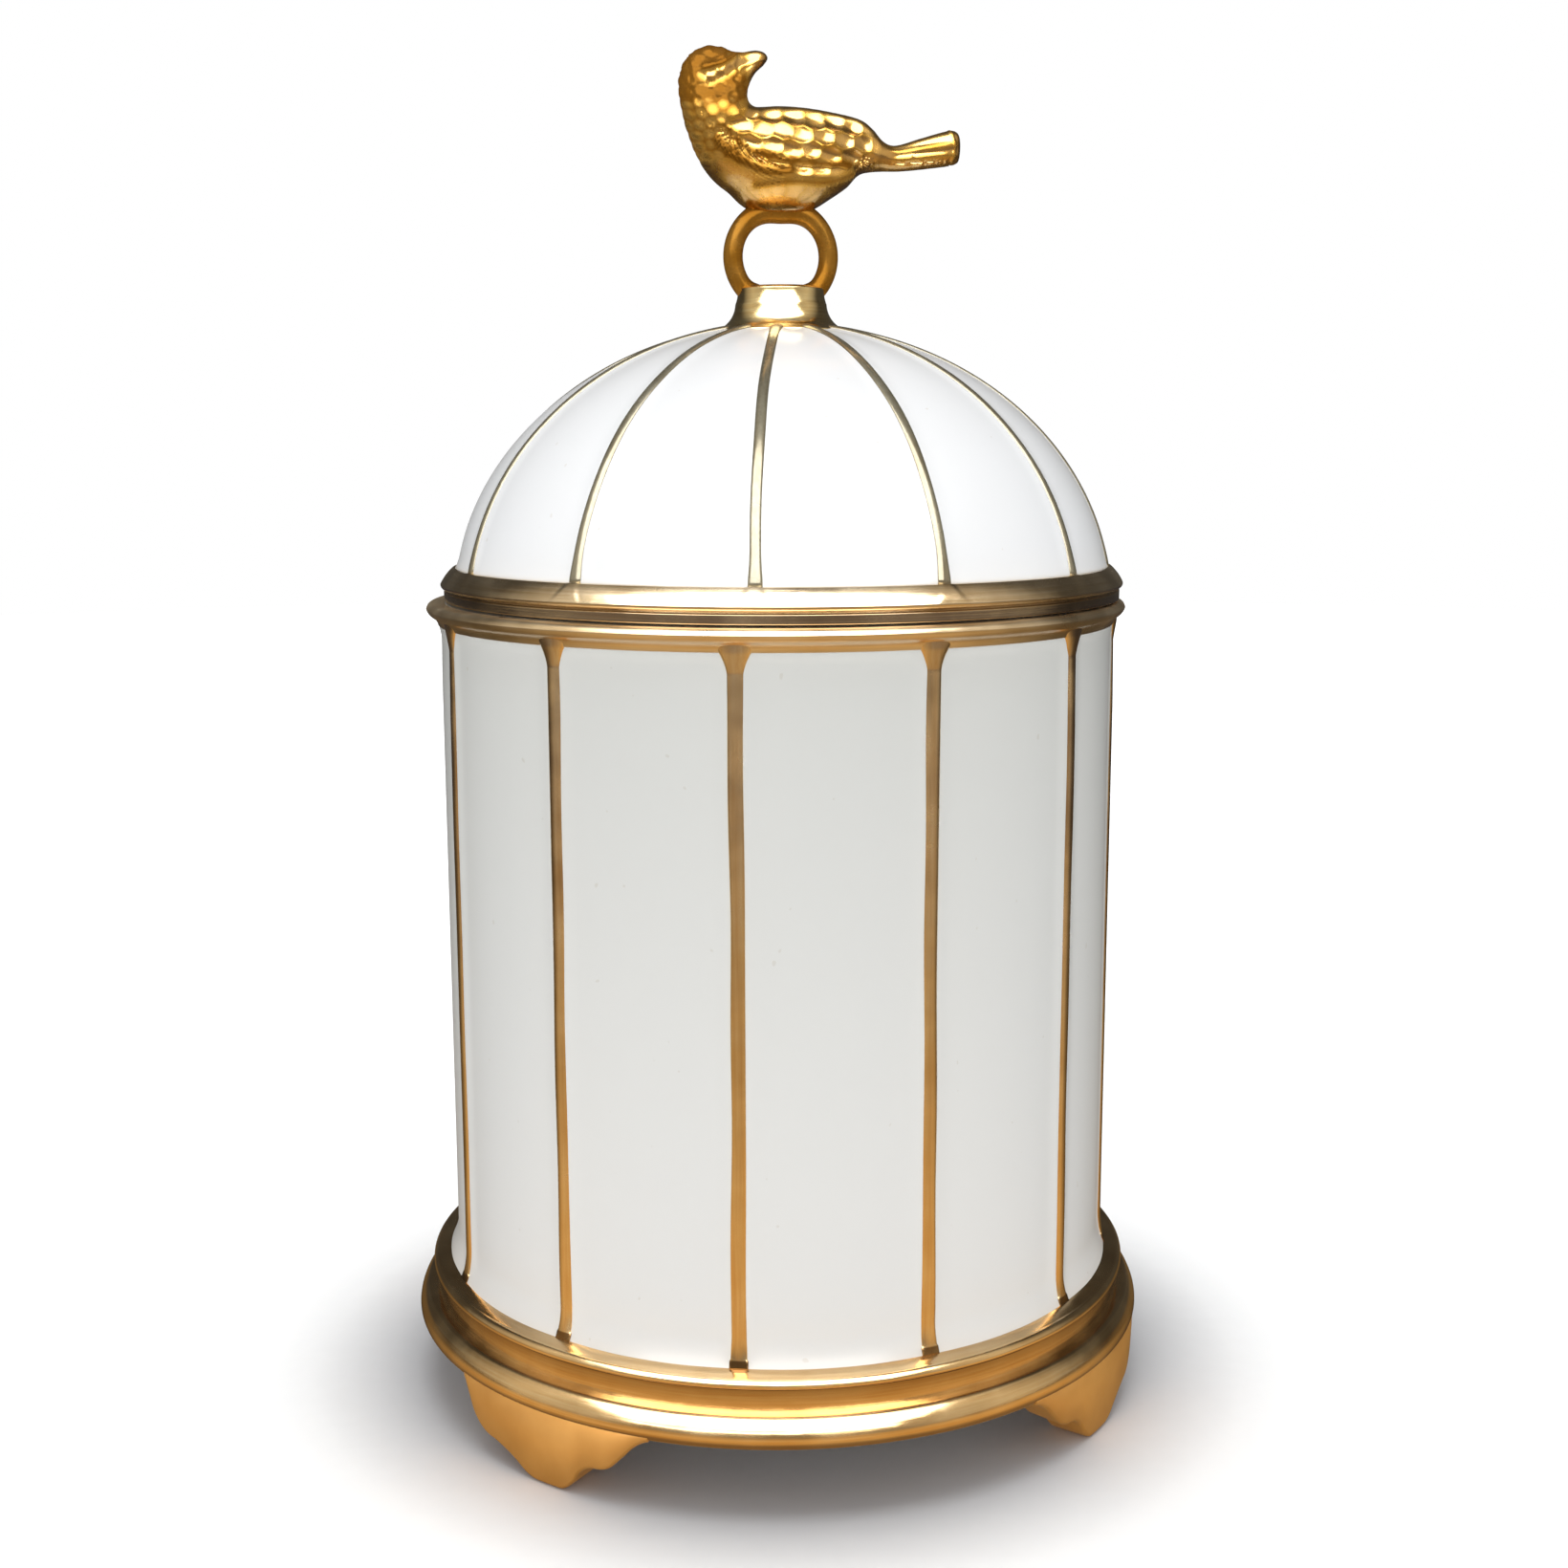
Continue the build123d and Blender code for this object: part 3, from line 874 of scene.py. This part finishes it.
def surface_net(field, origin, step):
    """Points and quads over the zero surface of a sampled field, negative inside."""
    cells = tuple(n - 1 for n in field.shape)
    total, count = np.zeros(cells + (3,)), np.zeros(cells)
    crossings = []
    for axis in range(3):
        u, v = [k for k in range(3) if k != axis]
        low = np.take(field, np.arange(field.shape[axis] - 1), axis)
        high = np.take(field, np.arange(1, field.shape[axis]), axis)
        crossed = (low < 0) != (high < 0)
        share = np.where(crossed, low / np.where(crossed, low - high, 1), 0)
        crossings.append(crossed)
        for du in (0, 1):
            for dv in (0, 1):
                part = [slice(None)] * 3
                part[u] = slice(du, du + cells[u])
                part[v] = slice(dv, dv + cells[v])
                here = crossed[tuple(part)]
                total[..., axis] += share[tuple(part)]
                total[..., u] += here * du
                total[..., v] += here * dv
                count += here
    used = count > 0
    number = np.full(cells, -1)
    number[used] = np.arange(used.sum())
    corner = np.argwhere(used)
    points = origin + step * (corner + total[used] / count[used][:, None])
    faces = []
    for axis, crossed in enumerate(crossings):
        u, v = [k for k in range(3) if k != axis]
        place = np.argwhere(crossed)
        inner = (place[:, u] > 0) & (place[:, v] > 0)
        inner &= (place[:, u] < cells[u]) & (place[:, v] < cells[v])
        place = place[inner]
        ring = []
        for du, dv in ((1, 1), (0, 1), (0, 0), (1, 0)):
            cell = place.copy()
            cell[:, u] -= du
            cell[:, v] -= dv
            ring.append(number[tuple(cell.T)])
        faces.append(np.stack(ring, axis=1))
    return points, np.concatenate(faces)


def vertex_normals(points, faces):
    a, b, c, d = (points[faces[:, k]] for k in range(4))
    face = np.cross(c - a, d - b)
    normal = np.zeros_like(points)
    for k in range(4):
        np.add.at(normal, faces[:, k], face)
    return normal / np.maximum(np.linalg.norm(normal, axis=1, keepdims=True), TINY)


def relaxed(points, faces, rounds, weight=0.5):
    """Evens out a mesh by moving each point towards the mean of its neighbours."""
    pairs = np.concatenate([faces[:, [k, (k + 1) % 4]] for k in range(4)])
    pairs = np.unique(np.sort(pairs, axis=1), axis=0)
    degree = np.bincount(pairs.ravel(), minlength=len(points))[:, None]
    for _ in range(rounds):
        total = np.zeros_like(points)
        np.add.at(total, pairs[:, 0], points[pairs[:, 1]])
        np.add.at(total, pairs[:, 1], points[pairs[:, 0]])
        points = points + weight * (total / degree - points)
    return points


# The bird's side view about the ring's axis: across from the axis, and up from the ring's centre.
BIRD_OUTLINE = [
    (-5.6, 7.2), (-7.6, 9.0), (-9.4, 10.3), (-11.2, 12.3), (-12.9, 15.5), (-14.1, 19.2),
    (-14.8, 22.6), (-14.75, 25.2), (-13.9, 27.3), (-12.6, 28.5), (-10.8, 29.3), (-8.8, 29.25),
    (-6.9, 28.6), (-5.4, 28.6), (-3.8, 28.9), (-2.5, 28.7), (-1.9, 28.0), (-2.5, 27.0),
    (-3.9, 25.7), (-4.9, 23.6), (-4.9, 21.8), (-3.9, 21.0), (-0.5, 21.2), (3.2, 21.1),
    (7.2, 20.6), (11.6, 19.7), (13.7, 18.3), (15.2, 16.7), (17.2, 16.1), (21.0, 17.2),
    (24.8, 18.3), (26.3, 18.4), (27.0, 17.4), (26.95, 14.7), (26.2, 13.7), (22.5, 13.1),
    (18.0, 12.6), (14.6, 12.5), (11.8, 12.0), (9.7, 10.0), (7.0, 8.2), (5.2, 7.1),
    (3.0, 6.2), (-3.0, 6.2),
]


def feather_rows(x, z):
    """Height of overlapping domed feathers on a wing, from 0 to 1, and how much of the wing is there."""
    tilt = math.radians(-6)
    along = (x + 9.5) * math.cos(tilt) + (z - 17.2) * math.sin(tilt)
    across = -(x + 9.5) * math.sin(tilt) + (z - 17.2) * math.cos(tilt)
    height = np.zeros_like(x)
    length, breadth = 3.7, 3.1
    for row in range(4):
        for place in range(8):
            centre_u = 1.0 + length * 0.84 * (place + 0.5 * (row % 2)) + 0.25 * math.sin(5 * place + 2 * row)
            centre_v = 3.3 - breadth * 0.76 * row + 0.22 * math.sin(3 * place + row)
            u = (along - centre_u) / (length / 2)
            v = (across - centre_v) / (breadth / 2)
            spread_out = np.hypot(np.where(u > 0, u, u * 0.62), v)
            domed = np.clip(1 - spread_out**2, 0, 1) ** 0.72 * (0.80 + 0.20 * np.clip(u, -1, 1))
            height = np.maximum(height, domed)
    body = np.hypot((along - 11.3) / 12.6, (across - 0.4) / 5.4)
    body = np.maximum(body, np.hypot((along - 13.5) / 14.5, (across + 0.6) / 5.2) * 0.96)
    return height, 1 - smooth((body - 0.82) / 0.2)


def hammered(x, z, pitch, turn=0.5):
    """Shallow domes on a slanting lattice."""
    u = (x * math.cos(turn) + z * math.sin(turn)) / pitch
    v = (-x * math.sin(turn) + z * math.cos(turn)) / (pitch * 0.87)
    row = np.floor(v)
    u = u + 0.5 * (row % 2) + 0.18 * np.sin(row * 2.3)
    away = np.hypot(u - np.floor(u) - 0.5, (v - row - 0.5))
    return np.clip(1 - (away / 0.55) ** 2, 0, 1)


def crease(x, z, points, width):
    """A groove along an open curve, from 0 to 1."""
    there_and_back = points + points[-2:0:-1]
    return bell(distance_to(flowing_outline(there_and_back, 8), x, z), width)


def bird_relief(x, y, z):
    """Feathers, eye, folds and tail grooves: the height to add, and how much shade to paint, in the feather
    gaps, creases and grooves and over the head, breast and flank.
    """
    side = smooth((np.abs(y) - 0.7) / 1.6)
    feathers, wing = feather_rows(x, z)
    height = wing * (0.10 + 1.05 * feathers) * side
    # Painted shade in the gaps between the feathers.
    painted_shade = wing * (1 - smooth(feathers / 0.7)) * 0.9 * side

    breast = smooth((-4.6 - x) / 2.5) * smooth((31.0 - z) / 3.0) * smooth((z - 11.5) / 3.0) * (1 - wing)
    # The breast is painted shaded, darker still between its dimples.
    painted_shade += 0.35 * breast
    dimples = hammered(x, z + 0.4 * np.abs(y), 1.7)
    height += 0.16 * breast * (dimples - 0.5)
    painted_shade += 0.45 * breast * (1 - dimples)

    eye = bell(np.hypot(x + 10.4, z - 27.6), 0.8)
    height += 0.28 * eye * side
    jowl = crease(x, z, [(-10.7, 23.8), (-9.0, 24.4), (-7.0, 25.7), (-4.8, 27.1)], 1.3) * side
    height += 0.62 * jowl
    cheek = crease(x, z, [(-11.0, 24.8), (-9.3, 25.4), (-7.4, 26.6), (-5.2, 27.8)], 1.6) * side
    head = smooth((z - 20.5) / 2.0) * smooth((-4.0 - x) / 1.5)
    tufts = hammered(x, z, 1.25, -0.3)
    height += 0.06 * head * (1 - cheek) * (tufts - 0.5)
    # The head is painted shaded all over, except the cheek stripe, which is left bright as a painted
    # highlight.
    painted_shade = (painted_shade + head * (0.78 - 0.3 * tufts)) * (1 - cheek)
    brow = crease(x, z, [(-7.0, 28.7), (-7.2, 27.9), (-8.9, 26.8), (-11.6, 25.9)], 0.42) * side
    height -= 0.26 * brow
    painted_shade += 0.8 * brow
    gape = crease(x, z, [(-2.2, 27.85), (-4.2, 27.0), (-6.0, 26.2)], 0.16) * side
    height -= 0.16 * gape
    painted_shade += 0.35 * gape

    fold = crease(x, z, [(-10.0, 15.4), (-7.2, 13.2), (-3.0, 11.4), (0.4, 11.7)], 0.75) * side
    wing_edge = [(-8.6, 16.8), (-6.0, 14.6), (-1.5, 13.2), (4.5, 12.6), (9.6, 12.6)]
    under_wing = crease(x, z, wing_edge, 0.50) * side
    flank = smooth((z - 7.0) / 2.0) * smooth((13.5 - z) / 2.0)
    # The flank below the wing is painted a little shaded.
    painted_shade += 0.14 * flank * (1 - wing)
    belly = crease(x, z, [(-4.5, 9.6), (0.5, 10.1), (6.0, 10.2), (10.0, 11.6)], 0.50) * side
    height -= 0.24 * fold + 0.26 * under_wing + 0.18 * belly
    painted_shade += 0.85 * fold + 0.8 * under_wing + 0.6 * belly

    tail = smooth((x - 15.0) / 2.5)
    fan = (z - 14.5 - 0.12 * np.maximum(x - 17.0, 0)) / (1.7 + 0.055 * np.maximum(x - 15.0, 0) * 1.7)
    grooves = 0.5 + 0.5 * np.cos(2 * np.pi * fan * 1.6)
    height += tail * (0.20 * (grooves - 0.5) + 0.10) * side
    painted_shade += 0.5 * tail * (1 - grooves) * side
    tip = crease(x, z, [(25.3, 18.6), (25.9, 16.0), (25.4, 13.1)], 0.22)
    height -= 0.14 * tip
    painted_shade += 0.3 * tip
    return height, np.clip(painted_shade, 0, 1)


def make_bird():
    """The bird, blown up from its side view and then chased with its feathers."""
    step = 0.21
    thickest = 6.75
    curve = flowing_outline(BIRD_OUTLINE)
    x = np.arange(-16.2, 28.6, step)
    z = np.arange(4.6, 31.2, step)
    y = np.arange(-thickest - 1.2, thickest + 1.2, step)
    flat_x, flat_z = np.meshgrid(x, z, indexing="ij")
    square = inflated(depth_inside(curve, flat_x, flat_z), step)
    head = smooth((flat_z - 19.0) / 4.0) * smooth((-2.5 - flat_x) / 3.0)
    tail = smooth((flat_x - 11.0) / 6.0)
    square *= (1 - 0.38 * head) * (1 - 0.15 * tail)
    square *= min(1.0, thickest**2 / square.max())
    square -= 0.6 * step * step
    slope = np.hypot(*np.gradient(square, step))
    field = (y[None, :, None] ** 2 - square[:, None, :])
    field = field / np.sqrt(4 * y[None, :, None] ** 2 + slope[:, None, :] ** 2 + 0.4)
    points, faces = surface_net(field, np.array([x[0], y[0], z[0]]), step)
    points = relaxed(points, faces, 4)
    normals = vertex_normals(points, faces)
    if np.mean(np.sign(points[:, 1]) * normals[:, 1]) < 0:
        normals = -normals
    height, painted_shade = bird_relief(points[:, 0], points[:, 1], points[:, 2])
    points = points + normals * height[:, None]
    points = relaxed(points, faces, 1, 0.25)
    points[:, 2] += RING_CENTRE
    make_piece("finial_bird", on_lid(points), faces, "lid", finial_gilt, painted_shade)


def thread_relief(rows, angles):
    """A single-start thread."""
    pitch, depth = 0.7, 0.34
    r, z = rows[:, 0:1], rows[:, 1:2]
    turn = (z / pitch - angles[None, :] / (2 * math.pi)) % 1.0
    inside_ends = (z > STUD.bottom + 0.5) & (r > STUD.radius * 0.6)
    return np.where(inside_ends, -depth * np.abs(2 * turn - 1), 0.0)


def make_stud():
    heights = np.linspace(STUD.bottom + 0.6, STUD.top - 0.3, 110)
    rows = [(0.0, STUD.bottom), (STUD.radius * 0.7, STUD.bottom)]
    rows += [(STUD.radius - 0.02, z) for z in heights]
    rows += [(STUD.radius * 0.7, STUD.top), (0.0, STUD.top)]
    turned_piece(
        "finial_stud", np.array(rows), even_angles(48), "lid", fixing_brass,
        thread_relief, False,
    )


def make_washer():
    squared_ring("finial_washer", STUD.radius + 0.4, WASHER, 0.35, 96, fixing_brass)


def make_nut():
    """A hexagon nut, chamfered at both ends."""
    sides = 96
    flat = NUT.radius * math.cos(math.pi / 6)
    angles = even_angles(sides)
    hexagon = flat / np.cos((angles + math.pi / 6) % (math.pi / 3) - math.pi / 6)
    bore = STUD.radius + 0.05
    outside = [
        (flat * 0.98, NUT.bottom), (flat * 1.08, NUT.bottom + 0.25), (FAR, NUT.bottom + 0.5),
        (FAR, NUT.top - 0.5), (flat * 1.08, NUT.top - 0.25), (flat * 0.98, NUT.top),
    ]
    inside = [
        (bore + 0.3, NUT.top), (bore, NUT.top - 0.3),
        (bore, NUT.bottom + 0.3), (bore + 0.3, NUT.bottom),
    ]
    loops = [(np.minimum(hexagon, cone), z) for cone, z in outside]
    loops += [(np.full(sides, r), z) for r, z in inside]
    rows = [np.stack([r * np.sin(angles), -r * np.cos(angles), np.full(sides, z)], axis=1) for r, z in loops]
    faces = grid_faces(len(rows), sides, True, True)
    make_piece("finial_nut", on_lid(np.array(rows)), faces, "lid", fixing_brass)


# ---- Studio ----
TABLE_RADIUS = 1.5


def make_camera():
    """The viewpoint: a little to the left of the front, looking slightly down."""
    azimuth, distance, height = math.radians(-9.15), 311.4 * MM, 143.8 * MM
    heading, pitch, roll = math.radians(9.365), math.radians(-9.637), math.radians(-0.139)
    data = bpy.data.cameras.new("camera")
    data.sensor_width = 36.0
    data.lens = 47.22
    data.clip_start, data.clip_end = 0.005, 20.0
    camera = bpy.data.objects.new("camera", data)
    turn = Matrix.Rotation(-heading, 4, "Z") @ Matrix.Rotation(math.pi / 2 + pitch, 4, "X")
    turn = turn @ Matrix.Rotation(roll, 4, "Z")
    place = Vector((distance * math.sin(azimuth), -distance * math.cos(azimuth), height))
    camera.matrix_world = Matrix.Translation(place) @ turn
    scene.collection.objects.link(camera)
    scene.camera = camera


def area_light(name, azimuth, elevation, distance, width, height, radiance):
    """A softbox that faces the middle of the object. Angles are in degrees, from the front towards +X."""
    middle = Vector((0, 0, (cad_low.z + cad_high.z) / 2))
    a, e = math.radians(azimuth), math.radians(elevation)
    toward = Vector((math.sin(a) * math.cos(e), -math.cos(a) * math.cos(e), math.sin(e)))
    data = bpy.data.lights.new(name, "AREA")
    data.shape = "RECTANGLE"
    data.size, data.size_y = width, height
    data.energy = radiance * width * height * math.pi
    lamp = bpy.data.objects.new(name, data)
    lamp.location = middle + toward * distance
    lamp.rotation_mode = "QUATERNION"
    lamp.rotation_quaternion = toward.to_track_quat("Z", "Y")
    scene.collection.objects.link(lamp)
    return lamp


def flat_disc(name, radius, height, material):
    """A round sheet at a given height."""
    mesh = bpy.data.meshes.new(name)
    work = bmesh.new()
    bmesh.ops.create_circle(work, cap_ends=True, radius=radius, segments=96)
    work.to_mesh(mesh)
    work.free()
    mesh.materials.append(material)
    disc = bpy.data.objects.new(name, mesh)
    disc.location.z = height
    scene.collection.objects.link(disc)
    return disc


def facing(tree, vector, direction):
    """How far a vector points along a direction."""
    return add(tree, "ShaderNodeVectorMath", "Value", {0: vector, 1: direction}, operation="DOT_PRODUCT")


def from_middle(tree):
    """Where a point of a sheet is, and how far from the sheet's middle."""
    place = add(tree, "ShaderNodeTexCoord", "Object", {})
    return place, add(tree, "ShaderNodeVectorMath", "Value", {0: place}, operation="LENGTH")


def make_table():
    """A white table with a painted shadow close round the jar and a painted glow that grows away from it;
    the gloss doesn't see it.
    """
    material, tree, shader = blank_material("table_white")
    away = from_middle(tree)[1]
    # Painted shadow: the table is darker close round the jar.
    near = graded(
        tree, away, 0, 0.2, (0.28, (0.58, 0.59, 0.61)), (0.37, (0.84, 0.85, 0.86)),
        (0.60, (0.96, 0.965, 0.97)), (0.95, (0.97, 0.98, 0.99)),
    )
    grain = ramp(tree, noise(tree, 300), (0.3, grey(0.985)), (0.7, WHITE))
    # Painted glow: the table shines more the further it is from the jar, so that far off it shows white.
    painted_glow = graded(
        tree, away, 0, TABLE_RADIUS, (0.036, BLACK), (0.055, grey(0.18)), (0.09, grey(0.25)),
        (0.2, grey(0.36)), (0.5, grey(0.55)), (1.0, grey(0.8)),
    )
    set_inputs(tree, shader, {
        "Base Color": multiplied(tree, near, grain),
        "Emission Color": painted_glow,
        "Emission Strength": 1.0,
        "Roughness": 0.9,
        "Specular IOR Level": 0.0,
    })
    table = flat_disc("table", TABLE_RADIUS, 0.0, material)
    table.visible_glossy = False


def make_table_reflection():
    """A glowing sheet under the table that only the gloss sees: a painted reflection of the table, with
    painted shade close round the jar, and darker behind it.
    """
    material = bpy.data.materials.new("table_reflection")
    material.use_nodes = True
    tree = material.node_tree
    tree.nodes.clear()
    place, away = from_middle(tree)
    # Painted reflection of the table: dark close round the jar as painted shade, orange a little further
    # out, dimmer far off.
    tone = graded(
        tree, away, 0, 1, (0.065, (0.22, 0.14, 0.07)), (0.082, (0.66, 0.40, 0.15)),
        (0.12, (0.68, 0.45, 0.20)), (0.24, (0.46, 0.34, 0.19)), (0.55, (0.25, 0.20, 0.17)),
        (0.95, (0.20, 0.18, 0.19)),
    )
    heading = add(tree, "ShaderNodeVectorMath", "Vector", {0: place}, operation="NORMALIZE")
    shade = graded(
        tree, facing(tree, heading, (-0.159, -0.987, 0.0)), -1, 1,
        (0.38, grey(0.20)), (0.52, grey(0.42)), (0.74, WHITE),
    )
    painted_glow = add(tree, "ShaderNodeEmission", "Emission", {"Color": multiplied(tree, tone, shade)})
    set_inputs(tree, tree.nodes.new("ShaderNodeOutputMaterial"), {"Surface": painted_glow})
    card = flat_disc("table_reflection", TABLE_RADIUS, -0.0005, material)
    card.visible_camera = False
    card.visible_diffuse = False
    card.visible_shadow = False
    card.visible_transmission = False


def make_world():
    """White behind the object, an even dome for the soft light, and a studio for the gloss."""
    world = bpy.data.worlds.new("studio")
    scene.world = world
    world.use_nodes = True
    tree = world.node_tree
    tree.nodes.clear()
    path = tree.nodes.new("ShaderNodeLightPath")
    outward = add(tree, "ShaderNodeTexCoord", "Generated", {})
    height = add(tree, "ShaderNodeSeparateXYZ", "Z", {"Vector": outward})
    sides = graded(
        tree, facing(tree, outward, (-0.225, -0.974, 0.0)), -1, 1, (0.30, (0.055, 0.05, 0.042)),
        (0.45, (0.42, 0.37, 0.29)), (0.60, (0.66, 0.59, 0.46)), (0.78, (0.52, 0.46, 0.36)),
        (0.95, (0.30, 0.26, 0.20)),
    )
    above = graded(tree, height, -1, 1, (0.96, BLACK), (0.985, WHITE))
    gloss_inputs = {"Factor": above, "A": sides, "B": (*grey(0.28), 1)}
    gloss = add(tree, "ShaderNodeMix", "Result", gloss_inputs, data_type="RGBA")
    sky = graded(tree, height, 0, 1, (0.0, grey(0.13)), (1.0, WHITE))
    key = facing(tree, outward, (-0.42, -0.90, 0.0))
    lean = graded(tree, key, -1, 1, (0.0, grey(0.80)), (1.0, WHITE))

    def background(colour, strength):
        return add(tree, "ShaderNodeBackground", "Background", {"Color": colour, "Strength": strength})

    def choose(factor, first, second):
        return add(tree, "ShaderNodeMixShader", "Shader", {"Fac": factor, 1: first, 2: second})

    soft = background(multiplied(tree, sky, lean), 1.05)
    seen = choose(path.outputs["Is Glossy Ray"], soft, background(gloss, 1.0))
    seen = choose(path.outputs["Is Camera Ray"], seen, background((*WHITE, 1), 1.0))
    set_inputs(tree, tree.nodes.new("ShaderNodeOutputWorld"), {"Surface": seen})


def make_studio():
    make_camera()
    make_world()
    make_table()
    make_table_reflection()
    softbox = area_light("front_softbox", -14, 47, 1.2, 2.2, 1.56, 5.0)
    softbox.visible_diffuse = False
    for fill in (
        area_light("overhead_softbox", 0, 90, 0.9, 0.6, 0.6, 3.6),
        area_light("front_fill", -24, 6, 1.2, 0.9, 0.4, 2.8),
        area_light("side_fill", 70, 8, 1.2, 0.6, 0.5, 0.8),
    ):
        fill.visible_glossy = False
    scene.view_settings.view_transform = "Standard"


make_jar()
for rib in range(RIB_COUNT):
    make_body_rib(rib)
    make_dome_rib(rib)
make_collar()
make_base_torus()
make_base_step()
for foot in ("foot_front_left", "foot_front_right", "foot_back_left", "foot_back_right"):
    make_foot(foot)
make_dome()
make_flange()
make_band()
make_ferrule()
make_ring()
make_bird()
make_stud()
make_washer()
make_nut()
make_studio()
